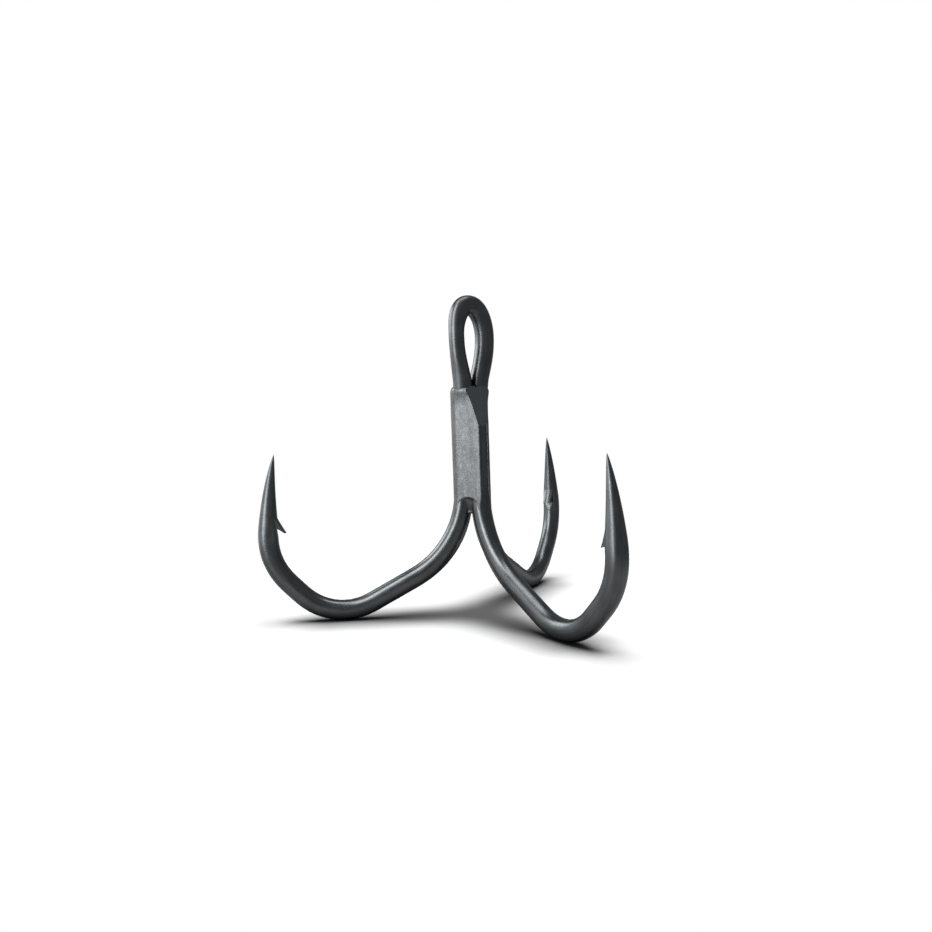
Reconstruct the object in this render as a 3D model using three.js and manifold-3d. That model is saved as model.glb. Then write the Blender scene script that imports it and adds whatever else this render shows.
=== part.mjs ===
// Treble hook: three forged steel hooks, brazed together at the shank.
//
// Two of the hooks are the two ends of one wire, whose middle is folded round into the closed eye. The third
// is a hook of its own: its shank lies in the groove between the other two, and its top end is cut on a long
// bevel. Filler metal fills the three grooves between the shanks, and the channel in the middle of them.
//
// Millimetres. +Z runs up the shank, and the origin is the inside of the eye's top, where a ring or a line
// pulls. The single hook opens along +X, and the pair stand at 120 degrees to it. The hook rests on its bends.
import * as THREE from "three";
import { ConvexGeometry } from "three/addons/geometries/ConvexGeometry.js";
import { mergeVertices } from "three/addons/utils/BufferGeometryUtils.js";
import Module from "manifold-3d";

const wasm = await Module();
wasm.setup();

// Wire
const wireRadius = 1.2;
const eyeWireRadius = 1.17; // the wire is drawn a little thinner where it is folded into the eye
const bendHalfWidth = 1.28; // forged bend, across the wire in the plane of the hook
const bendHalfThickness = 1.14; // forged bend, from one flattened side to the other
const forgedOver = 8; // length over which the round shank turns into the forged bend
const facets = 12; // sides of the wire
const ringEvery = 1.1; // step along the wire

// Shank: three wires side by side, with a capillary gap between them
const hookSpread = (2 * Math.PI) / 3;
const shankGap = 0.035;
const shankOffset = (wireRadius + shankGap / 2) / Math.sin(hookSpread / 2);
const shankTop = -9.2;
const bendStart = -22.5;

// Hook: bends (radius and turn in degrees) and straight runs, from the shank down and round to the point
const hookRoute = [
  { radius: 12.2, turn: 62.3 },
  { run: 6.45 },
  { radius: 7.55, turn: 73.2 },
  { run: 2.3 },
  { radius: 8.05, turn: 47.9 },
  { run: 2.45 },
  { radius: 53.5, turn: 8.46 },
];
const pointLength = 9.6; // ground spear point
const pointFullness = 0.74; // 1 is a straight cone, less is a fuller point

// Barb: a sliver lifted out of the inner side of the point by a slanting cut
const barbRoot = 8.1; // from the tip of the point, along the wire
const barbTip = 9.8;
const barbUnderside = 9.2;
const barbHeight = 1.04;
const barbHalfWidth = 0.55;
const barbBite = 0.5; // how far its root is sunk in the wire

// Eye: half of its outline, which is mirrored. Its wires are set over to centre it on the shank.
const eyeHalfWidth = 2.12;
const eyeTop = eyeWireRadius;
const eyeWidest = -2.7;
const eyeTopRound = 0.62; // pull of the curve at the top and at the widest place, 0 to 1
const eyeShoulderRound = 0.4;
const eyeLowerRound = 0.4;
const eyeCrotchRound = 0.28;
const setOverLength = 3.5;

// Bevelled end of the single hook's shank
const bevelLength = 4.9;
const bevelDepth = 1.35;
const bevelEndGap = 0.05; // below the place where the eye's wires are set over

// Braze
const brazeGap = 0.03; // between filler and wire
const brazeBottom = -23.9;
const filletBelowTangent = 0.05; // how far its face lies inside the plane that touches both wires
const filletTop = shankTop - bevelEndGap;
const filletSteps = 6;
const coreRadius = 0.34;

const steel = new THREE.MeshStandardMaterial({ color: 0x3a4145, roughness: 0.32, metalness: 1 });
const filler = new THREE.MeshStandardMaterial({ color: 0x84898c, roughness: 0.6, metalness: 0.8 });

// ---------------------------------------------------------------------------------------------- the wire

// A flat route that carries on from its own end: straight on, or round a bend to the left.
class Route extends THREE.Path {
  heading = -Math.PI / 2;

  run(length) {
    const step = new THREE.Vector2(Math.cos(this.heading), Math.sin(this.heading)).multiplyScalar(length);
    this.lineTo(this.currentPoint.x + step.x, this.currentPoint.y + step.y);
  }

  bend(radius, turn) {
    const x = this.currentPoint.x - radius * Math.sin(this.heading);
    const y = this.currentPoint.y + radius * Math.cos(this.heading);
    const from = this.heading - Math.PI / 2;
    this.absarc(x, y, radius, from, from + turn, false);
    this.heading += turn;
  }
}

function hookOutline() {
  const route = new Route();
  route.moveTo(shankOffset, bendStart);
  for (const part of hookRoute) {
    if (part.run) route.run(part.run);
    else route.bend(part.radius, THREE.MathUtils.degToRad(part.turn));
  }
  return route;
}

// Half sizes of the wire at a distance along the bend: round shank, forged bend, ground point.
function hookSection(along, total) {
  const forged = THREE.MathUtils.smoothstep(along, 0, forgedOver);
  const point = Math.min(1, (total - along) / pointLength) ** pointFullness;
  return {
    halfWidth: point * THREE.MathUtils.lerp(wireRadius, bendHalfWidth, forged),
    halfThickness: point * THREE.MathUtils.lerp(wireRadius, bendHalfThickness, forged),
  };
}

// Stations along one hook, from the start of its bend to its tip. Each has a place, the direction across the
// wire in the hook's plane, and the wire's half sizes there.
function hookStations(azimuth) {
  const outline = hookOutline();
  const total = outline.getLength();
  const count = Math.round(total / ringEvery);
  const turn = new THREE.Matrix4().makeRotationZ(azimuth);
  return Array.from({ length: count + 1 }, (_, i) => {
    const flat = outline.getPointAt(i / count);
    const heading = outline.getTangentAt(i / count);
    return {
      place: new THREE.Vector3(flat.x, 0, flat.y).applyMatrix4(turn),
      across: new THREE.Vector3(-heading.y, 0, heading.x).applyMatrix4(turn),
      ...hookSection((total * i) / count, total),
    };
  });
}

function shankStation(azimuth, z) {
  const across = new THREE.Vector3(Math.cos(azimuth), Math.sin(azimuth), 0);
  const place = across.clone().multiplyScalar(shankOffset).setZ(z);
  return { place, across, halfWidth: wireRadius, halfThickness: wireRadius };
}

// Half of the eye's outline in its own plane, from the top of the shank up to the middle of the top.
function halfEye() {
  const foot = shankOffset * Math.sin(hookSpread);
  const lower = eyeWidest - shankTop;
  const upper = eyeTop - eyeWidest;
  const half = new THREE.Path();
  half.moveTo(foot, shankTop);
  half.bezierCurveTo(foot, shankTop + lower * eyeCrotchRound, eyeHalfWidth, eyeWidest - lower * eyeLowerRound,
    eyeHalfWidth, eyeWidest);
  half.bezierCurveTo(eyeHalfWidth, eyeWidest + upper * eyeShoulderRound, eyeHalfWidth * eyeTopRound, eyeTop,
    0, eyeTop);
  return half;
}

function eyeStations() {
  const half = halfEye();
  const count = Math.round(half.getLength() / ringEvery);
  const across = new THREE.Vector3(1, 0, 0);
  const side = (sign) =>
    Array.from({ length: count + 1 }, (_, i) => {
      const flat = half.getPointAt(i / count);
      const setOver = THREE.MathUtils.smoothstep(flat.y, shankTop, shankTop + setOverLength);
      const thinner = THREE.MathUtils.lerp(wireRadius, eyeWireRadius, setOver);
      return {
        place: new THREE.Vector3((setOver - 1) * shankOffset * Math.cos(hookSpread / 2), sign * flat.x, flat.y),
        across,
        halfWidth: thinner,
        halfThickness: thinner,
      };
    });
  return [...side(-1), ...side(1).reverse().slice(1)];
}

// Rings of points round the stations. The rings don't twist: each starts where the one before it does.
function ringsAlong(stations) {
  const start = stations[0].across.clone();
  return stations.map((station, i) => {
    const before = stations[Math.max(i - 1, 0)].place;
    const after = stations[Math.min(i + 1, stations.length - 1)].place;
    const along = after.clone().sub(before).normalize();
    const across = station.across.clone().addScaledVector(along, -station.across.dot(along)).normalize();
    const side = along.clone().cross(across);
    start.addScaledVector(along, -start.dot(along)).normalize();
    const next = along.clone().cross(start);
    return Array.from({ length: facets }, (_, k) => {
      const angle = (2 * Math.PI * k) / facets;
      const out = start.clone().multiplyScalar(Math.cos(angle)).addScaledVector(next, Math.sin(angle));
      const reach = Math.hypot(out.dot(across) / station.halfWidth, out.dot(side) / station.halfThickness);
      return station.place.clone().addScaledVector(out, 1 / reach);
    });
  });
}

// Skins a row of rings. Each end closes on one point: the tip of a hook, or the middle of a cut end.
function skin(rings, first, last) {
  const points = [...rings.flat(), first, last];
  const index = [];
  for (let i = 0; i < rings.length; i++) {
    for (let k = 0; k < facets; k++) {
      const a = i * facets + k;
      const b = i * facets + ((k + 1) % facets);
      if (i === 0) index.push(points.length - 2, b, a);
      if (i === rings.length - 1) index.push(points.length - 1, a, b);
      else index.push(a, b, b + facets, a, b + facets, a + facets);
    }
  }
  return new THREE.BufferGeometry().setFromPoints(points).setIndex(index);
}

// ---------------------------------------------------------------------------------------- joins and cuts

function solidOf(geometry) {
  const bare = new THREE.BufferGeometry().setIndex(geometry.index);
  bare.setAttribute("position", geometry.getAttribute("position"));
  const merged = mergeVertices(bare, 1e-5);
  const vertProperties = new Float32Array(merged.getAttribute("position").array);
  const triVerts = new Uint32Array(merged.index.array);
  return new wasm.Manifold(new wasm.Mesh({ numProp: 3, vertProperties, triVerts }));
}

function geometryOf(solid) {
  const { vertProperties, triVerts } = solid.getMesh();
  const geometry = new THREE.BufferGeometry();
  geometry.setAttribute("position", new THREE.BufferAttribute(vertProperties, 3));
  geometry.setIndex(new THREE.BufferAttribute(triVerts, 1));
  geometry.computeVertexNormals();
  return geometry;
}

// The barb, in the plane of its hook: a wedge with its edge towards the bend.
function barb(azimuth) {
  const outline = hookOutline();
  const total = outline.getLength();
  const onSurface = (fromTip, proud, sideways) => {
    const at = 1 - fromTip / total;
    const flat = outline.getPointAt(at);
    const heading = outline.getTangentAt(at);
    const reach = hookSection(total - fromTip, total).halfWidth + proud;
    return new THREE.Vector3(flat.x - heading.y * reach, sideways, flat.y + heading.x * reach);
  };
  const corners = [onSurface(barbTip, barbHeight, 0), onSurface(barbRoot, 0, 0)];
  for (const sideways of [-barbHalfWidth, barbHalfWidth]) {
    corners.push(onSurface(barbRoot, -barbBite, sideways), onSurface(barbUnderside, -barbBite, sideways));
  }
  const wedge = new ConvexGeometry(corners).applyMatrix4(new THREE.Matrix4().makeRotationZ(azimuth));
  return solidOf(wedge);
}

// The waste that the bevel cut takes off the single hook's shank end: a block lying on the slanting face.
function bevelWaste() {
  const slope = Math.atan2(bevelDepth, bevelLength);
  const block = new THREE.BoxGeometry(4, 4, 12);
  block.translate(2, 0, 0);
  block.rotateY(-slope);
  block.translate(shankOffset + wireRadius, 0, shankTop - bevelLength);
  return solidOf(block);
}

// --------------------------------------------------------------------------------------------- the pieces

const singleAzimuth = 0;
const pairAzimuths = [-hookSpread, hookSpread];

function doubleHook() {
  const [right, left] = pairAzimuths.map(hookStations);
  const stations = [...right.slice(0, -1).reverse(), ...eyeStations(), ...left.slice(0, -1)];
  const tips = [right, left].map((hook) => hook[hook.length - 1].place);
  let wire = solidOf(skin(ringsAlong(stations), tips[0], tips[1]));
  for (const azimuth of pairAzimuths) wire = wire.add(barb(azimuth));
  return geometryOf(wire);
}

function singleHook() {
  const hook = hookStations(singleAzimuth);
  const top = shankStation(singleAzimuth, filletTop);
  const stations = [top, ...hook.slice(0, -1)];
  const wire = solidOf(skin(ringsAlong(stations), top.place, hook[hook.length - 1].place));
  return geometryOf(wire.add(barb(singleAzimuth)).subtract(bevelWaste()));
}

// Section of the filler in one groove: two hollow sides that follow the wires, and a flat face outwards.
function filletSection() {
  const halfPitch = wireRadius + shankGap / 2;
  const radius = wireRadius + brazeGap;
  const innermost = Math.acos((halfPitch - brazeGap) / radius);
  const outermost = Math.asin((wireRadius - filletBelowTangent) / radius);
  const grooveFloor = shankOffset * Math.cos(hookSpread / 2);
  const flank = Array.from({ length: filletSteps + 1 }, (_, i) => {
    const angle = THREE.MathUtils.lerp(innermost, outermost, i / filletSteps);
    return new THREE.Vector2(halfPitch - radius * Math.cos(angle), grooveFloor + radius * Math.sin(angle));
  });
  const mirrored = flank.map((point) => new THREE.Vector2(-point.x, point.y)).reverse();
  return new THREE.Shape([...flank, ...mirrored]);
}

function fillet(azimuth) {
  const bar = new THREE.ExtrudeGeometry(filletSection(), {
    depth: filletTop - brazeBottom, bevelEnabled: false, steps: 1,
  });
  bar.translate(0, 0, brazeBottom);
  bar.rotateZ(azimuth - Math.PI / 2);
  return geometryOf(solidOf(bar));
}

function core() {
  const bar = new THREE.CylinderGeometry(coreRadius, coreRadius, filletTop - bendStart, 3);
  bar.rotateX(Math.PI / 2);
  bar.rotateZ(-Math.PI / 2); // its edges point into the gaps between the wires
  bar.translate(0, 0, (filletTop + bendStart) / 2);
  return geometryOf(solidOf(bar));
}

const group = new THREE.Group();

function addPiece(name, geometry, material) {
  const mesh = new THREE.Mesh(geometry, material);
  mesh.name = name;
  group.add(mesh);
}

addPiece("double_hook_wire", doubleHook(), steel);
addPiece("single_hook_wire", singleHook(), steel);
addPiece("braze_fillet_right", fillet(-hookSpread / 2), filler);
addPiece("braze_fillet_left", fillet(hookSpread / 2), filler);
addPiece("braze_fillet_back", fillet(Math.PI), filler);
addPiece("braze_core", core(), filler);

export default group;
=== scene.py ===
import bpy
import bmesh
from math import ceil, cos, pi, radians, sin
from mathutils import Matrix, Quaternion, Vector


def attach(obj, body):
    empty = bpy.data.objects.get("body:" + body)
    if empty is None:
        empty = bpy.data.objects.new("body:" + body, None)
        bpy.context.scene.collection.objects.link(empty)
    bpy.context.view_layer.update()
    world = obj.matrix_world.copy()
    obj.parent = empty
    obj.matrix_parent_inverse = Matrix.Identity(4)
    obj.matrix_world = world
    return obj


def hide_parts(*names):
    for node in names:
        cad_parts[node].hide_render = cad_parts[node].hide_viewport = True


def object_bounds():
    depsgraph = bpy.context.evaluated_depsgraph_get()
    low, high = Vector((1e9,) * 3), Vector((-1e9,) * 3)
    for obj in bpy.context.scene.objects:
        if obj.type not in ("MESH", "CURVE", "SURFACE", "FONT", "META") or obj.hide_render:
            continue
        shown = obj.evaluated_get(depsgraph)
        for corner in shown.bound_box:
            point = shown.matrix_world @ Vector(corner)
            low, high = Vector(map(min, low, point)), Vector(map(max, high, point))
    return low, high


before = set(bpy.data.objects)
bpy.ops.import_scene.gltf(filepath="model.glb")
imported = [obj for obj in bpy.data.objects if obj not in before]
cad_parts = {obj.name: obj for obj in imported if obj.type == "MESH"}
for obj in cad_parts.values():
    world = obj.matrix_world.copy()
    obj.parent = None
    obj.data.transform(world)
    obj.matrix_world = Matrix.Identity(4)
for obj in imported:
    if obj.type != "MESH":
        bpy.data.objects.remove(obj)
cad_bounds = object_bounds()
floor_height = cad_bounds[0].z
scene = bpy.context.scene


# --- Camera -------------------------------------------------------------------------------------------------
# It stands close to the hook, a little above its bends, and looks past the single hook almost level.
sight_azimuth = radians(147.17)
sight_down = radians(4.07)
camera_roll = radians(-2.0)
camera_data = bpy.data.cameras.new("camera")
camera_data.lens = 34.03
camera_data.clip_start = 0.001
camera = bpy.data.objects.new("camera", camera_data)
scene.collection.objects.link(camera)
level_sight = Vector((cos(sight_azimuth), sin(sight_azimuth), 0))
sight = level_sight * cos(sight_down) - Vector((0, 0, sin(sight_down)))
camera.rotation_mode = "QUATERNION"
camera.rotation_quaternion = sight.to_track_quat("-Z", "Y") @ Quaternion((0, 0, 1), camera_roll)
camera.location = (0.0940, -0.0618, floor_height + 0.0272)
scene.camera = camera


# --- Studio -------------------------------------------------------------------------------------------------
# A white card on a white background, lit softly from straight overhead. A tall strip light stands on the
# left, with a pale wall and a window behind it, and the rest of the room is dark. The metal shows them all.
scene.view_settings.view_transform = "Standard"


def from_shank(azimuth, distance, height):
    """A place in the studio, in metres: its azimuth and distance from the shank, and height over the card."""
    turn = radians(azimuth)
    return Vector((distance * cos(turn), distance * sin(turn), floor_height + height))


def soft_box(name, place, aim, width, height, brightness):
    """A flat light that only shows in the metal. White has a brightness of 1."""
    light_data = bpy.data.lights.new(name, "AREA")
    light_data.shape = "RECTANGLE"
    light_data.size = width
    light_data.size_y = height
    light_data.energy = brightness * pi * width * height
    light = bpy.data.objects.new(name, light_data)
    scene.collection.objects.link(light)
    light.location = place
    light.rotation_mode = "QUATERNION"
    light.rotation_quaternion = (aim - place).to_track_quat("-Z", "Y")
    light.visible_camera = False
    light.visible_diffuse = False


soft_box("strip_light", from_shank(-82, 0.10, 0.075), from_shank(0, 0, 0.05), 0.044, 0.16, 7.2)
soft_box("left_wall", from_shank(-138, 0.16, 0.05), from_shank(0, 0, 0.03), 0.22, 0.16, 1.2)
soft_box("left_window", from_shank(-150, 0.15, 0.09), from_shank(0, 0, 0.04), 0.11, 0.075, 4.2)
soft_box("top_box", from_shank(-110, 0.02, 0.20), from_shank(0, 0, 0.02), 0.06, 0.16, 5.0)

sky_data = bpy.data.lights.new("overhead_light", "SUN")
sky_data.energy = 3.6
sky_data.angle = radians(55)
sky = bpy.data.objects.new("overhead_light", sky_data)
sky.visible_glossy = False
scene.collection.objects.link(sky)


def put(tree, kind, inputs, **settings):
    """Adds a node to a tree. Each input is a value, or the output of another node."""
    node = tree.nodes.new(kind)
    for name, value in settings.items():
        setattr(node, name, value)
    for socket, value in inputs.items():
        if isinstance(value, bpy.types.NodeSocket):
            tree.links.new(value, node.inputs[socket])
        else:
            node.inputs[socket].default_value = value
    return node


def sums(tree, operation, *values):
    """One sum on values or on other nodes' outputs."""
    return put(tree, "ShaderNodeMath", dict(enumerate(values)), operation=operation).outputs[0]


def spread(tree, value, low, high, to_low=0.0, to_high=1.0):
    """Carries low..high to to_low..to_high, and no further."""
    limits = {"Value": value, "From Min": low, "From Max": high, "To Min": to_low, "To Max": to_high}
    return put(tree, "ShaderNodeMapRange", limits).outputs[0]


# The card has a fine paper fibre. Little light gets under the hook, so a soft shadow is painted into
# the card's colour, in three arms that follow the bends.
card_radius = 0.060
card_edge_count = 96
arm_azimuths = (-120, 0, 120)
shaded_length = 0.0185
shaded_half_width = 0.0078
shaded_evenly = 0.0002
paper_whiteness = (0.90, 0.94)
arms_run_together = 0.004
darkest_painted_shadow = 0.18
reflected_paper_painted_share = 0.5  # how much of the card's light the metal shows
card_mesh = bpy.data.meshes.new("card")
card_edge = [from_shank(360 * i / card_edge_count, card_radius, 0) for i in range(card_edge_count)]
card_mesh.from_pydata(card_edge, [], [tuple(range(card_edge_count))])
card = bpy.data.objects.new("card", card_mesh)
scene.collection.objects.link(card)
white_card = bpy.data.materials.new("white_card")
white_card.use_nodes = True
card_tree = white_card.node_tree
card_shader = card_tree.nodes["Principled BSDF"]
card_shader.inputs["Roughness"].default_value = 0.9
card_shader.inputs["Specular IOR Level"].default_value = 0.0
card_place = put(card_tree, "ShaderNodeTexCoord", {}).outputs["Object"]
fibre = put(card_tree, "ShaderNodeTexNoise", {"Vector": card_place, "Scale": 900}).outputs[0]
paper = spread(card_tree, fibre, 0, 1, *paper_whiteness)
away = None
for azimuth in arm_azimuths:
    arm = (cos(radians(azimuth)), sin(radians(azimuth)), 0)
    along = {0: card_place, 1: arm}
    along = put(card_tree, "ShaderNodeVectorMath", along, operation="DOT_PRODUCT").outputs["Value"]
    held = put(card_tree, "ShaderNodeClamp", {"Value": along, "Max": shaded_length}).outputs[0]
    nearest = put(card_tree, "ShaderNodeVectorMath", {0: arm, "Scale": held}, operation="SCALE").outputs[0]
    nearest = {0: nearest, 1: (0, 0, floor_height)}
    nearest = put(card_tree, "ShaderNodeVectorMath", nearest, operation="ADD").outputs[0]
    gap = {0: card_place, 1: nearest}
    gap = put(card_tree, "ShaderNodeVectorMath", gap, operation="DISTANCE").outputs["Value"]
    away = gap if away is None else sums(card_tree, "SMOOTH_MIN", away, gap, arms_run_together)
# Painted shadow: the card's colour darkens towards the arms.
shade = {"Value": away, "From Min": shaded_evenly, "From Max": shaded_half_width}
shade |= {"To Min": darkest_painted_shadow, "To Max": paper}
shade = put(card_tree, "ShaderNodeMapRange", shade, interpolation_type="SMOOTHSTEP").outputs[0]
# Painted shade in the reflections: where the metal reflects the card, the card's colour is painted darker.
in_metal = put(card_tree, "ShaderNodeLightPath", {}).outputs["Is Glossy Ray"]
paper_with_painted_shadow = sums(card_tree, "MULTIPLY", shade, spread(card_tree, in_metal, 0, 1, 1, reflected_paper_painted_share))
card_tree.links.new(paper_with_painted_shadow, card_shader.inputs["Base Color"])
card_mesh.materials.append(white_card)

# The room: white behind the hook, dark in its reflections, and a little light from all round on the card.
room = bpy.data.worlds.new("room")
room.use_nodes = True
scene.world = room
room_tree = room.node_tree
room_tree.nodes.clear()
ray = put(room_tree, "ShaderNodeLightPath", {}).outputs
light_on_card = (0.09, 0.09, 0.09, 1)
room_in_metal = (0.22, 0.23, 0.24, 1)
white = (1, 1, 1, 1)
around = put(room_tree, "ShaderNodeBackground", {"Color": light_on_card}).outputs[0]
for sort_of_ray, colour in (("Is Glossy Ray", room_in_metal), ("Is Camera Ray", white)):
    glow = put(room_tree, "ShaderNodeBackground", {"Color": colour}).outputs[0]
    around = put(room_tree, "ShaderNodeMixShader", {0: ray[sort_of_ray], 1: around, 2: glow}).outputs[0]
put(room_tree, "ShaderNodeOutputWorld", {"Surface": around})


# --- Double hook --------------------------------------------------------------------------------------------
# One length of round carbon steel wire. Each end is ground to a long spear point and bent into a hook, whose
# bend is forged a little flatter. The middle is folded into the eye, and the eye is pressed. Sizes are in mm.
MM = 0.001
wire_radius = 1.2
bend_half_width = 1.28
bend_half_thickness = 1.14
bend_squareness = 2.35  # 2 is a plain ellipse, more has flatter sides
forged_over = 8.0
hook_spread = radians(120)
shank_gap = 0.035
shank_offset = (wire_radius + shank_gap / 2) / sin(hook_spread / 2)
shank_top = -9.2
bend_start = -22.5
hook_parts = [  # length and turn of each straight or curved part, from the shank to the point
    (12.2 * radians(62.3), radians(62.3)),
    (6.45, 0),
    (7.55 * radians(73.2), radians(73.2)),
    (2.3, 0),
    (8.05 * radians(47.9), radians(47.9)),
    (2.45, 0),
    (53.5 * radians(8.46), radians(8.46)),
]
hook_length = sum(length for length, _ in hook_parts)
point_length = 9.6
point_fullness = 0.74
point_rings = (3.0, 2.1, 1.3, 0.7, 0.25, 0.03)  # rings near the end of the point, from its tip
even_rings_end = 4.0  # from the tip
ring_count = 12  # corners of each ring
near_side, far_side, single_side = -hook_spread, hook_spread, 0.0


def along_hook(distance):
    """Place (out, up) and heading at a distance from the start of the bend, in the plane of the hook."""
    out, up, heading = shank_offset, bend_start, -pi / 2
    for length, turn in hook_parts:
        part = min(distance, length)
        turned = turn * part / length
        chord = part if turn == 0 else 2 * sin(turned / 2) * length / turn
        out += chord * cos(heading + turned / 2)
        up += chord * sin(heading + turned / 2)
        heading += turned
        distance -= part
        if distance <= 0:
            break
    return out, up, heading


def smooth(value, low, high):
    """Eases from 0 at low to 1 at high."""
    t = min(1.0, max(0.0, (value - low) / (high - low)))
    return t * t * (3 - 2 * t)


def hook_section(distance):
    """Half width in the plane of the hook, half thickness across it, and squareness."""
    forged = smooth(distance, 0, forged_over)
    point = min(1.0, max(0.0, (hook_length - distance) / point_length)) ** point_fullness
    half_width = point * (wire_radius + (bend_half_width - wire_radius) * forged)
    half_thickness = point * (wire_radius + (bend_half_thickness - wire_radius) * forged)
    return half_width, half_thickness, 2 + (bend_squareness - 2) * forged


def in_hook(azimuth, out, up, sideways=0.0):
    """The place in the part's frame of a point in the plane of the hook at that azimuth, or beside it."""
    x = out * cos(azimuth) - sideways * sin(azimuth)
    y = out * sin(azimuth) + sideways * cos(azimuth)
    return Vector((x, y, up))


def hook_stations(azimuth):
    """Stations along one hook: place, direction across the wire in the plane of the hook, and section."""
    steps = ceil(hook_length - even_rings_end)
    distances = [(hook_length - even_rings_end) * i / steps for i in range(1, steps + 1)]
    distances += [hook_length - from_tip for from_tip in point_rings]
    stations = []
    for distance in distances:
        out, up, heading = along_hook(distance)
        across = in_hook(azimuth, -sin(heading), cos(heading))
        stations.append((in_hook(azimuth, out, up), across, hook_section(distance)))
    return stations


def sweep(name, stations, first, last):
    """A cage round the stations, closed on a point at each end, with a map that runs along the wire."""
    draws_in = 2 / 3 + cos(2 * pi / ring_count) / 3  # what the smoothing leaves of a ring's radius
    places = [place for place, _, _ in stations]
    start = stations[0][1].copy()
    points, lengths, run = [], [], 0.0
    for i, (place, across, (half_width, half_thickness, squareness)) in enumerate(stations):
        before = places[max(i - 1, 0)]
        along = (places[min(i + 1, len(places) - 1)] - before).normalized()
        across = (across - along * across.dot(along)).normalized()
        side = along.cross(across)
        start = (start - along * start.dot(along)).normalized()
        beside = along.cross(start)
        run += (place - before).length
        lengths.append(run)
        for k in range(ring_count):
            angle = 2 * pi * k / ring_count
            out = start * cos(angle) + beside * sin(angle)
            wide = abs(out.dot(across) / half_width) ** squareness
            thick = abs(out.dot(side) / half_thickness) ** squareness
            points.append(place + out * (wide + thick) ** (-1 / squareness) / draws_in)
    points += [first, last]
    faces, maps = [], []
    for k in range(ring_count):
        after = (k + 1) % ring_count
        low, high = k / ring_count, (k + 1) / ring_count
        faces.append((len(points) - 2, after, k))
        maps += [(low, 0), (high, 0), (low, 0)]
        for i in range(len(stations) - 1):
            a, b = i * ring_count, (i + 1) * ring_count
            faces.append((a + k, a + after, b + after, b + k))
            maps += [(low, lengths[i]), (high, lengths[i]), (high, lengths[i + 1]), (low, lengths[i + 1])]
        end = (len(stations) - 1) * ring_count
        faces.append((len(points) - 1, end + k, end + after))
        maps += [(low, run), (low, run), (high, run)]
    mesh = bpy.data.meshes.new(name)
    mesh.from_pydata([point * MM for point in points], [], faces)
    wire_map = mesh.uv_layers.new(name="along_wire")
    for corner, place in zip(wire_map.data, maps):
        corner.uv = place
    mesh.shade_smooth()
    piece = bpy.data.objects.new(name, mesh)
    scene.collection.objects.link(piece)
    return piece


def smoothed(piece):
    """Finishes a coarse cage as a smooth surface."""
    finish = piece.modifiers.new("smooth", "SUBSURF")
    finish.levels = 2
    finish.render_levels = 2


def apply_stack(piece):
    """Makes the piece's mesh what its modifiers show."""
    bpy.context.view_layer.update()
    shown = piece.evaluated_get(bpy.context.evaluated_depsgraph_get())
    plain = piece.data
    finished = bpy.data.meshes.new_from_object(shown)
    piece.modifiers.clear()
    piece.data = finished
    bpy.data.meshes.remove(plain)


eye_top = 1.13
eye_lift = -0.07
eye_near = {"half_width": 1.90, "widest": -2.66, "pressed": 0.955, "thickness": 1.03}
eye_far = {"half_width": 2.34, "widest": -2.92, "pressed": 1.21, "thickness": 1.12}
eye_top_half_width = 1.254
eye_thickens_from = -2.3
eye_squareness = 2.35
eye_twist = radians(18)
eye_steps = 9
foot_pull, lower_pull, upper_pull, top_pull = 0.25, 0.48, 0.486, 0.687  # how long each knot holds its way
set_over_from = -10.9


def bezier(knots, t):
    """A place along a curve through the first and last of four knots."""
    a, b, c, d = (Vector(knot) for knot in knots)
    s = 1 - t
    return a * s**3 + b * 3 * s * s * t + c * 3 * s * t * t + d * t**3


def eye_side(limb):
    """Points (aside, up) up one limb of the eye, from the foot to the middle of the top."""
    foot = shank_offset * sin(hook_spread)
    wide, widest = limb["half_width"], limb["widest"]
    lower, upper = widest - shank_top, eye_top - widest
    leaving_foot, nearing_widest = shank_top + foot_pull * lower, widest - lower_pull * lower
    leaving_widest = widest + upper_pull * upper
    low = ((foot, shank_top), (foot, leaving_foot), (wide, nearing_widest), (wide, widest))
    high = ((wide, widest), (wide, leaving_widest), (top_pull * wide, eye_top), (0, eye_top))
    points = [bezier(low, i / eye_steps) for i in range(eye_steps)]
    points += [bezier(high, i / eye_steps) for i in range(eye_steps + 1)]
    shift = (1 if limb is eye_far else -1) * eye_lift
    return [(place.x + shift * smooth(place.y, widest, eye_top), place.y) for place in points]


def set_over(up):
    """The two shanks lean over to the axis inside the braze. This is how far out they still stand."""
    return -shank_offset * cos(hook_spread / 2) * (1 - smooth(up, set_over_from, shank_top + 0.1))


def eye_stations():
    """Stations up the near limb of the eye, over its top and down the far limb."""
    near, far = eye_side(eye_near), eye_side(eye_far)
    loop = [(-aside, up) for aside, up in near] + list(reversed(far[:-1]))
    stations = []
    for i, (aside, up) in enumerate(loop):
        limb = eye_near if i < len(near) else eye_far
        leaves = smooth(up, shank_top, shank_top + 5.0)
        reaches = smooth(up, eye_thickens_from, eye_top)
        half_width = wire_radius + (limb["pressed"] - wire_radius) * leaves
        half_width += (eye_top_half_width - half_width) * reaches
        half_thickness = wire_radius + (limb["thickness"] - wire_radius) * leaves
        (y0, z0), (y1, z1) = loop[max(i - 1, 0)], loop[min(i + 1, len(loop) - 1)]
        across = Vector((0, z0 - z1, y1 - y0)).normalized()
        if limb is eye_near:
            twist = eye_twist * leaves * (1 - smooth(up, eye_near["widest"], eye_top))
            across = across * cos(twist) - Vector((sin(twist), 0, 0))
        section = (half_width, half_thickness, 2 + (eye_squareness - 2) * leaves)
        stations.append((Vector((set_over(up), aside, up)), across, section))
    return stations


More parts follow.
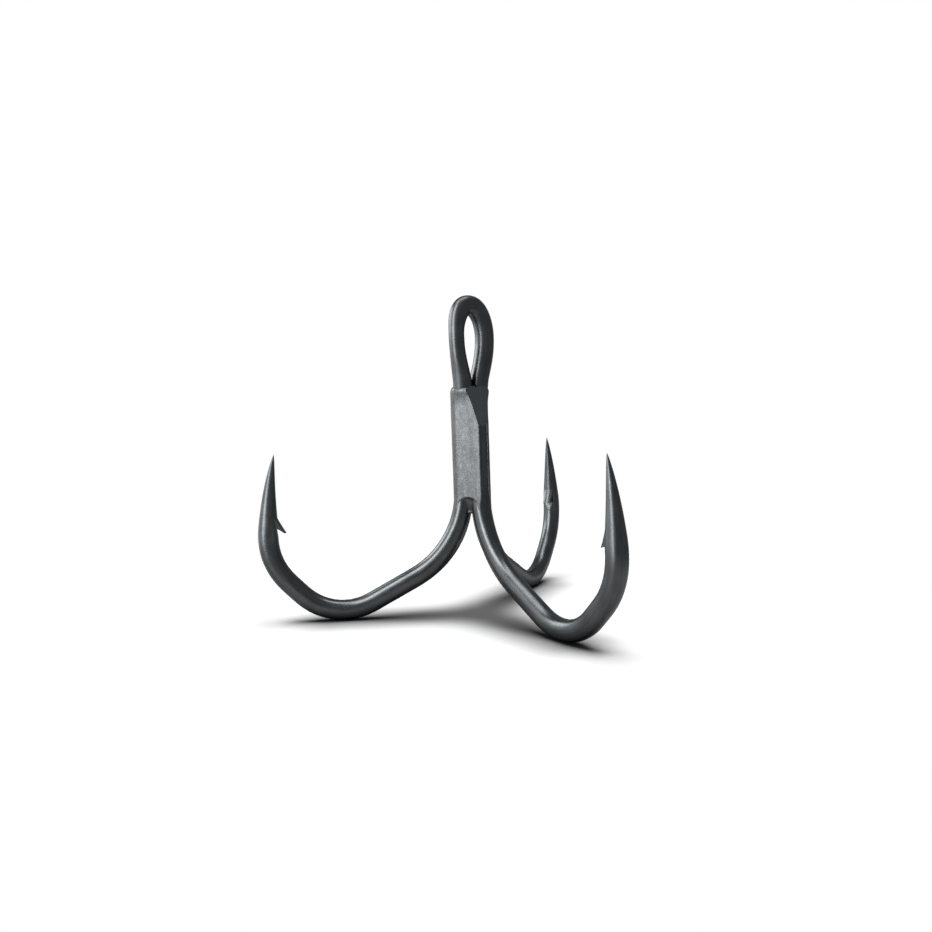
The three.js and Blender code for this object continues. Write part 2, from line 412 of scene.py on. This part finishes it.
def pair_shank(side):
    """Stations down one shank of the pair, from the foot of the eye."""
    foot = shank_offset * sin(hook_spread) * (1 if side == far_side else -1)
    heights = [shank_top - 0.6 - 0.8 * i for i in range(4)]
    heights += [-13.0 - 1.2 * i for i in range(8)]
    heights.append(bend_start)
    across = in_hook(side, 1, 0)
    return [(Vector((set_over(z), foot, z)), across, (wire_radius, wire_radius, 2)) for z in heights]


def to_tip(side):
    """The very end of a point."""
    out, up, _ = along_hook(hook_length)
    return in_hook(side, out, up)


near_wire = list(reversed(pair_shank(near_side) + hook_stations(near_side)))
far_wire = pair_shank(far_side) + hook_stations(far_side)
double_hook = sweep("double_hook", near_wire + eye_stations() + far_wire, to_tip(near_side), to_tip(far_side))
smoothed(double_hook)
apply_stack(double_hook)


# Each barb is a tongue of the wire itself, lifted by a slanting chisel cut in the inner side of the point.
# The cut leaves a flat scoop below the tongue. Distances are from the tip of the point, along the wire.
barb_root = 8.0
barb_tip = 9.95
barb_root_half_width = 0.74
barb_tip_half_width = 0.52
scoop_start = 9.2
scoop_depth = 0.34
scoop_end = 11.3
barb_free_from = 0.4  # share of the tongue's length where its underside leaves the wire


def on_point(azimuth, from_tip, proud, sideways):
    """A place so far proud of the inner side of the wire."""
    out, up, heading = along_hook(hook_length - from_tip)
    reach = hook_section(hook_length - from_tip)[0] + proud
    return in_hook(azimuth, out - sin(heading) * reach, up + cos(heading) * reach, sideways)


def closed_piece(name, rows):
    """A closed mesh through rows of points, each row a loop, capped at both ends."""
    count = len(rows[0])
    faces = [tuple(range(count - 1, -1, -1)), tuple((len(rows) - 1) * count + k for k in range(count))]
    for i in range(len(rows) - 1):
        for k in range(count):
            after = (k + 1) % count
            faces.append((i * count + k, i * count + after, (i + 1) * count + after, (i + 1) * count + k))
    mesh = bpy.data.meshes.new(name)
    mesh.from_pydata([point * MM for row in rows for point in row], [], faces)
    shell = bmesh.new()
    shell.from_mesh(mesh)
    bmesh.ops.recalc_face_normals(shell, faces=shell.faces[:])
    shell.to_mesh(mesh)
    shell.free()
    piece = bpy.data.objects.new(name, mesh)
    scene.collection.objects.link(piece)
    return piece


def barb_tongue(azimuth, proud):
    """The lifted tongue, crowned outside and hollow under its tip."""
    rows = []
    shares = (-1, -0.5, 0, 0.5, 1)
    for t in (0, 0.15, 0.4, 0.7, 1.0):
        half = barb_root_half_width + (barb_tip_half_width - barb_root_half_width) * t
        crown_at = barb_root + (barb_tip - barb_root) * t
        crown_lift = proud * t**1.15 - 0.02
        if t < barb_free_from:
            under_at, under_lift = crown_at, -0.5
        else:
            free = (t - barb_free_from) / (1 - barb_free_from)
            under_at = scoop_start + (barb_tip - scoop_start) * free
            under_lift = -scoop_depth + (proud + scoop_depth) * free - 0.04
        crown = [on_point(azimuth, crown_at, crown_lift - 0.5 * (half * s) ** 2, half * s) for s in shares]
        under = [on_point(azimuth, under_at, under_lift - 0.1 * (half * s) ** 2, half * s) for s in shares]
        rows.append(crown + under[::-1])
    return closed_piece("barb_tongue", rows)


def barb_scoop(azimuth):
    """What the chisel took away."""
    profile = ((scoop_start, -scoop_depth), (scoop_end, 0.05), (scoop_end, 0.8), (scoop_start + 0.6, 0.8))
    rows = [[on_point(azimuth, from_tip, proud, side) for from_tip, proud in profile] for side in (-2, 2)]
    return closed_piece("barb_scoop", rows)


def join_or_cut(piece, tool, operation):
    """Joins the tool to the piece or cuts it away, and removes the tool."""
    change = piece.modifiers.new("barb", "BOOLEAN")
    change.operation = operation
    change.solver = "EXACT"
    change.object = tool
    apply_stack(piece)
    bpy.data.objects.remove(tool)


def add_barb(wire, side, proud):
    """Cuts one barb, so far proud of the wire."""
    join_or_cut(wire, barb_scoop(side), "DIFFERENCE")
    join_or_cut(wire, barb_tongue(side, proud), "UNION")
    wire.data.set_sharp_from_angle(angle=radians(32))


add_barb(double_hook, near_side, 1.0)
add_barb(double_hook, far_side, 0.9)


def blend(tree, share, first, second):
    """The first colour where share is 0, and the second where it is 1."""
    mix = put(tree, "ShaderNodeMix", {0: share, 6: first, 7: second}, data_type="RGBA")
    return mix.outputs[2]


# The marks that both finishes carry: soft patches, drawn streaks, fine grain and a few pits. Places are in
# mm, and the shares say how much of the surface's height comes from each sort of mark.
patch_share, streak_share, grain_share = 0.5, 0.5, 0.4
worked_metal = bpy.data.node_groups.new("worked_metal", "ShaderNodeTree")
for socket in ("Place", "Streaked Place"):
    worked_metal.interface.new_socket(name=socket, in_out="INPUT", socket_type="NodeSocketVector")
for socket in ("Patch Scale", "Streak Scale", "Grain Scale", "Pit Depth"):
    worked_metal.interface.new_socket(name=socket, in_out="INPUT", socket_type="NodeSocketFloat")
for socket in ("Patches", "Streaks", "Grain", "Pits", "Height"):
    worked_metal.interface.new_socket(name=socket, in_out="OUTPUT", socket_type="NodeSocketFloat")
given = worked_metal.nodes.new("NodeGroupInput").outputs
marks = {}
for mark, place, scale, detail in (
    ("Patches", "Place", "Patch Scale", 3.0),
    ("Streaks", "Streaked Place", "Streak Scale", 2.0),
    ("Grain", "Place", "Grain Scale", 2.0),
):
    noise = {"Vector": given[place], "Scale": given[scale], "Detail": detail}
    noise = put(worked_metal, "ShaderNodeTexNoise", noise).outputs[0]
    marks[mark] = spread(worked_metal, noise, 0.34, 0.66)
cells = put(worked_metal, "ShaderNodeTexVoronoi", {"Vector": given["Place"], "Scale": given["Patch Scale"]})
chosen = put(worked_metal, "ShaderNodeSeparateColor", {0: cells.outputs["Color"]}).outputs[0]
pit = spread(worked_metal, cells.outputs["Distance"], 0.08, 0.26, 1.0, 0.0)
marks["Pits"] = sums(worked_metal, "MULTIPLY", pit, spread(worked_metal, chosen, 0.66, 0.70))
height = sums(worked_metal, "MULTIPLY", marks["Grain"], grain_share)
height = sums(worked_metal, "MULTIPLY_ADD", marks["Streaks"], streak_share, height)
height = sums(worked_metal, "MULTIPLY_ADD", marks["Patches"], patch_share, height)
hollow = sums(worked_metal, "MULTIPLY", marks["Pits"], given["Pit Depth"])
marks["Height"] = sums(worked_metal, "SUBTRACT", height, hollow)
put(worked_metal, "NodeGroupOutput", marks)


def new_finish(name):
    """A metal with nothing on it yet: its tree, its shader, and the place in mm."""
    metal = bpy.data.materials.new(name)
    metal.use_nodes = True
    tree = metal.node_tree
    shader = tree.nodes["Principled BSDF"]
    shader.inputs["Metallic"].default_value = 1.0
    place = {0: put(tree, "ShaderNodeTexCoord", {}).outputs["Object"], "Scale": 1 / MM}
    place = put(tree, "ShaderNodeVectorMath", place, operation="SCALE").outputs[0]
    return metal, tree, shader, place


def add_marks(tree, place, streaked_place, scales):
    """The shared marks, with this metal's own scales."""
    worked = put(tree, "ShaderNodeGroup", {}, node_tree=worked_metal)
    for socket, value in {"Place": place, "Streaked Place": streaked_place}.items():
        tree.links.new(value, worked.inputs[socket])
    for socket, value in scales.items():
        worked.inputs[socket].default_value = value
    return worked.outputs


def finish_with(tree, shader, colour, roughness, height, depth, strength):
    """Joins the colour, the roughness and a bump of so many mm to the shader."""
    tree.links.new(colour, shader.inputs["Base Color"])
    tree.links.new(roughness, shader.inputs["Roughness"])
    bump = put(tree, "ShaderNodeBump", {"Height": height, "Distance": depth * MM, "Strength": strength})
    tree.links.new(bump.outputs[0], shader.inputs["Normal"])


bevel_length = 4.9
bevel_depth = 1.35
bevel_normal = Vector((bevel_length, 0, bevel_depth)).normalized()
bevel_foot = Vector((shank_offset + wire_radius, 0, shank_top - bevel_length)) * MM
pressed_grey = (0.150, 0.158, 0.163, 1)
braze_grey = (0.112, 0.118, 0.122, 1)


def place_parts(tree, place):
    """x, y and z of a place."""
    return put(tree, "ShaderNodeSeparateXYZ", {0: place}).outputs


def from_axis(tree, place):
    """How far out from the middle of the shanks."""
    x, y, _ = place_parts(tree, place)
    return sums(tree, "SQRT", sums(tree, "MULTIPLY_ADD", x, x, sums(tree, "MULTIPLY", y, y)))


def on_bevel(tree, place):
    """1 on the ground flat at the top of the single hook, 0 below it."""
    above = {0: place, 1: bevel_normal}
    above = put(tree, "ShaderNodeVectorMath", above, operation="DOT_PRODUCT").outputs["Value"]
    level = bevel_foot.dot(bevel_normal) / MM
    out = spread(tree, from_axis(tree, place), 3.2, 3.4, 1, 0)
    under_eye = spread(tree, place_parts(tree, place)[2], -9.04, -9.0, 1, 0)
    near = sums(tree, "MULTIPLY", out, under_eye)
    return sums(tree, "MULTIPLY", near, spread(tree, above, level - 0.035, level - 0.02))


# Black nickel over the bright wire. Draw marks run along it, the points are a little duller from grinding,
# and the braze has wet the foot of the eye, up to a slanting line.
draw_mark_stretch = 0.09
dark_nickel = (0.084, 0.090, 0.094, 1)
pale_nickel = (0.124, 0.131, 0.136, 1)
dark_wet_braze = (0.066, 0.070, 0.073, 1)
wet_line_over_x, wet_line_over_y, wet_line_height = -1.02, -1.586, -9.0
black_nickel, tree, shader, place = new_finish("black_nickel")
wire_map = put(tree, "ShaderNodeUVMap", {}, uv_map="along_wire").outputs[0]
wire_map = put(tree, "ShaderNodeSeparateXYZ", {0: wire_map}).outputs
turn = sums(tree, "MULTIPLY", wire_map[0], 2 * pi)
along = sums(tree, "MULTIPLY", wire_map[1], draw_mark_stretch)
drawn = {0: sums(tree, "COSINE", turn), 1: sums(tree, "SINE", turn), 2: along}
drawn = put(tree, "ShaderNodeCombineXYZ", drawn).outputs[0]
scales = {"Patch Scale": 0.55, "Streak Scale": 3.6, "Grain Scale": 5.5, "Pit Depth": 0.3}
marks = add_marks(tree, place, drawn, scales)
shade = sums(tree, "MULTIPLY_ADD", marks["Streaks"], 0.5, sums(tree, "MULTIPLY", marks["Patches"], 0.5))
colour = blend(tree, shade, dark_nickel, pale_nickel)
grain = sums(tree, "MULTIPLY_ADD", marks["Grain"], 0.6, sums(tree, "MULTIPLY", marks["Streaks"], 0.4))
x, y, z = place_parts(tree, place)
point = sums(tree, "MULTIPLY", spread(tree, from_axis(tree, place), 16, 20), spread(tree, z, -31, -25))
duller = sums(tree, "MAXIMUM", point, spread(tree, z, -9.0, -5.0))
roughness = sums(tree, "MULTIPLY_ADD", duller, 0.06, spread(tree, grain, 0, 1, 0.25, 0.35))
wet_line = sums(tree, "MULTIPLY_ADD", x, wet_line_over_x, wet_line_height)
wet_line = sums(tree, "MULTIPLY_ADD", y, wet_line_over_y, wet_line)
wet = sums(tree, "MULTIPLY_ADD", marks["Patches"], 0.9, sums(tree, "SUBTRACT", wet_line, z))
wet = sums(tree, "MULTIPLY", spread(tree, wet, 0.0, 0.9), spread(tree, z, -13.5, -12.5))
shade = sums(tree, "MULTIPLY_ADD", marks["Grain"], 0.5, sums(tree, "MULTIPLY", marks["Patches"], 0.5))
wet_colour = blend(tree, shade, dark_wet_braze, braze_grey)
flat = on_bevel(tree, place)
colour = blend(tree, flat, blend(tree, wet, colour, wet_colour), pressed_grey)
roughness = sums(tree, "MULTIPLY_ADD", sums(tree, "MAXIMUM", wet, flat), 0.17, roughness)
finish_with(tree, shader, colour, roughness, marks["Height"], 0.012, 0.06)

double_hook.data.materials.clear()
double_hook.data.materials.append(black_nickel)
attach(double_hook, "root")
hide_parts("double_hook_wire")


# --- Single hook --------------------------------------------------------------------------------------------
# A second length of the same wire, with one hook. Once brazed in, its shank end is pressed and ground to a
# long flat bevel, flush through wire and braze, up to the foot of the eye.
single_top = shank_top - 0.05
single_steps = 12


def single_shank():
    """Stations down the single hook's shank."""
    heights = [single_top - (single_top - bend_start) * i / single_steps for i in range(single_steps + 1)]
    round_wire = (wire_radius, wire_radius, 2)
    return [(Vector((shank_offset, 0, z)), Vector((1, 0, 0)), round_wire) for z in heights]


def ground_flat(piece, below=0.0):
    """Cuts the piece's upper end off at the bevel and closes it with a flat face."""
    foot = bevel_foot - bevel_normal * below * MM
    shell = bmesh.new()
    shell.from_mesh(piece.data)
    middles = {face: face.calc_center_median() for face in shell.faces}
    low, out = (shank_top - 2 * bevel_length) * MM, 3 * shank_offset * MM
    end = [face for face, middle in middles.items() if middle.z > low and middle.x < out]
    edges = {edge for face in end for edge in face.edges}
    corners = {vert for face in end for vert in face.verts}
    end += list(edges) + list(corners)
    cut = bmesh.ops.bisect_plane(shell, geom=end, plane_co=foot, plane_no=bevel_normal, clear_outer=True)
    rim = [edge for edge in cut["geom_cut"] if isinstance(edge, bmesh.types.BMEdge)]
    bmesh.ops.holes_fill(shell, edges=rim)
    shell.to_mesh(piece.data)
    shell.free()


single_end = Vector((shank_offset, 0, single_top))
single_wire = single_shank() + hook_stations(single_side)
single_hook = sweep("single_hook", single_wire, single_end, to_tip(single_side))
smoothed(single_hook)
apply_stack(single_hook)
ground_flat(single_hook)
add_barb(single_hook, single_side, 0.7)
single_hook.data.materials.clear()
single_hook.data.materials.append(black_nickel)
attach(single_hook, "root")
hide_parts("single_hook_wire")


# --- Braze --------------------------------------------------------------------------------------------------
# Filler metal that ran down the three grooves between the shanks. It wets the wires in a thin skin, right
# over the pair, and ends above in a rounded shoulder, and below in a hollow arch between two legs.
braze_skin = 0.06
skin_shares = (1.0, 0.97, 0.80, 0.58, 0.35, 0.12)  # round the wire, from the skin's edge to the groove
buried = 0.08  # how far the skin's edge goes under the wire's surface
leg_narrows = 0.55
lean_pulls_in = 0.45
pair_edge = radians(60.3)
single_edge = radians(38)
braze_top = shank_top + 0.12
shoulder = ((0, 0.45, -0.50), (0.14, 0.18, -0.17), (0.48, 0.05, 0.045))  # below the top, hollow, skin
face_top = braze_top - 0.9
face_bottom = -22.4
face_steps = 12
arch = (  # level, hollow, lift, skin
    (-23.1, 0.05, 0.12, 0.055),
    (-23.8, 0.06, 0.62, 0.05),
    (-24.02, 0.34, 0.70, 0.045),
    (-24.4, 0.46, 0.52, 0.03),
    (-24.8, 0.62, 0.30, 0.01),
    (-25.4, 0.85, 0.0, -0.05),
)


def on_shank(azimuth, groove, turn, reach, level):
    """A place round one shank, so far from its middle. Below the start of the bend, it follows the leg."""
    out, up, heading = shank_offset, level, -pi / 2
    if level <= bend_start:
        out, up, heading = along_hook(bend_start - level)
    aside = groove + turn - azimuth
    across = reach * cos(aside)
    return in_hook(azimuth, out - sin(heading) * across, up + cos(heading) * across, reach * sin(aside))


def braze_row(groove, low_edge, high_edge, level, hollow, lift, skin):
    """One loop of a fillet's cage: skin on one shank, face, skin on the other, and back inside."""
    draws_in = 2 / 3 + cos(radians(12)) / 3
    lean = set_over(level) + shank_offset * cos(hook_spread / 2)
    leg = 1 - smooth(level, -25.2, -22.9)

    def skin_on(shank, edge, sign):
        row = []
        for share in skin_shares:
            turn = sign * edge * share * (1 - leg_narrows * leg)
            if shank == single_side:
                level_with_face = (wire_radius + skin) * (1 / cos(turn) - 1)
                bead = level_with_face * (1 - leg) * (1 - 0.9 * smooth(share, 0.8, 0.97))
            else:
                bead = max(0.0, lean * cos(groove + turn))
            reach = wire_radius - buried if share == 1 else (wire_radius + skin + bead) / draws_in
            row.append(on_shank(shank, groove, turn, reach, level))
        return row

    low_shank, high_shank = groove - hook_spread / 2, groove + hook_spread / 2
    if groove > pi - 0.1:
        high_shank = near_side
    low, high = skin_on(low_shank, low_edge, -1), skin_on(high_shank, high_edge, 1)
    inward = in_hook(groove, -1, 0)
    face = []
    for share in (0.2, 0.4, 0.6, 0.8):
        dip = 4 * share * (1 - share)
        dished = inward * (hollow - lean_pulls_in * lean) * dip
        face.append(low[-1].lerp(high[-1], share) + dished + Vector((0, 0, lift * dip)))
    low_middle = on_shank(low_shank, groove, 0, 0, level)
    high_middle = on_shank(high_shank, groove, 0, 0, level)
    between = (low_middle + high_middle) / 2 + inward * 0.3 + Vector((0, 0, lift))
    if high_shank == near_side:
        climbs = smooth(lean, 0.45, 0.70)
        between += Vector((1.6 * lean, 0, 1.35 * climbs))
        rises = [0.9 * climbs * (1 - abs(2 * k - 3) / 3) for k in range(len(face))]
        face = [place + Vector((0, 0, rise)) for place, rise in zip(face, rises)]
    return low + face + high[::-1] + [high_middle, between, low_middle]


def fillet(name, groove, low_edge, high_edge, fullness):
    """One run of braze down a groove, with its shoulder above and its arch below."""
    rows = []
    for below, hollow, skin in shoulder:
        rows.append(braze_row(groove, low_edge, high_edge, braze_top - below, hollow, 0, skin))
    for i in range(face_steps + 1):
        level = face_top + (face_bottom - face_top) * i / face_steps
        wave = 0.012 * sin(2.1 * level + 5 * groove) + 0.01 * sin(4.7 * level)
        hollow = 0.04 - fullness * smooth(level, -20, -11) + wave
        rows.append(braze_row(groove, low_edge, high_edge, level, hollow, 0, braze_skin + 0.5 * wave))
    for level, hollow, lift, skin in arch:
        rows.append(braze_row(groove, low_edge, high_edge, level, hollow, lift, skin))
    return closed_piece(name, rows)


fillets = [
    fillet("braze_right", -hook_spread / 2, pair_edge, single_edge, 0.0),
    fillet("braze_left", hook_spread / 2, single_edge, pair_edge, 0.15),
    fillet("braze_back", pi, pair_edge, pair_edge, 0.08),
]
for piece in fillets:
    piece.data.shade_smooth()
    smoothed(piece)
for piece in fillets[:2]:
    apply_stack(piece)
    ground_flat(piece, below=0.008)
    piece.data.set_sharp_from_angle(angle=radians(40))

# The braze took the plating as a duller, mottled grey, streaked where it ran down, with a few pits near the
# top, and the shade in the pits is painted in as a darker grey. Painted shade also darkens the inside of the
# arch. It is smooth where the bevel was ground.
dark_braze = (0.078, 0.082, 0.085, 1)
pale_braze = (0.150, 0.157, 0.162, 1)
painted_shade_grey = (0.040, 0.043, 0.045, 1)
run_mark_stretch = (1.0, 1.0, 0.16)
braze, tree, shader, place = new_finish("braze")
runs = put(tree, "ShaderNodeVectorMath", {0: place, 1: run_mark_stretch}, operation="MULTIPLY").outputs[0]
scales = {"Patch Scale": 1.3, "Streak Scale": 2.4, "Grain Scale": 4.2, "Pit Depth": 1.0}
marks = add_marks(tree, place, runs, scales)
shade = sums(tree, "MULTIPLY_ADD", marks["Streaks"], 0.35, sums(tree, "MULTIPLY", marks["Patches"], 0.3))
shade = sums(tree, "MULTIPLY_ADD", marks["Grain"], 0.35, shade)
colour = blend(tree, shade, dark_braze, pale_braze)
z = place_parts(tree, place)[2]
# The pits are cut in by the bump; the shade in them is painted as a darker colour.
pits = sums(tree, "MULTIPLY", marks["Pits"], spread(tree, z, -13.5, -9.5, 0.15, 0.9))
# Painted shade inside the hollow arch between the legs.
inside = spread(tree, from_axis(tree, place), 1.8, 2.1, 1, 0)
arch_shade = sums(tree, "MULTIPLY", spread(tree, z, -24.8, -23.1, 0.9, 0), inside)
dark = sums(tree, "MAXIMUM", pits, arch_shade)
colour = blend(tree, dark, colour, painted_shade_grey)
flat = on_bevel(tree, place)
colour = blend(tree, flat, colour, pressed_grey)
roughness = spread(tree, marks["Grain"], 0, 1, 0.36, 0.52)
roughness = sums(tree, "MULTIPLY_ADD", flat, -0.05, roughness)
finish_with(tree, shader, colour, roughness, marks["Height"], 0.03, 0.28)

for piece, node in zip(fillets, ("braze_fillet_right", "braze_fillet_left", "braze_fillet_back")):
    piece.data.materials.clear()
    piece.data.materials.append(braze)
    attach(piece, "root")
    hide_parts(node)
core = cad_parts["braze_core"]
core.data.materials.clear()
core.data.materials.append(braze)
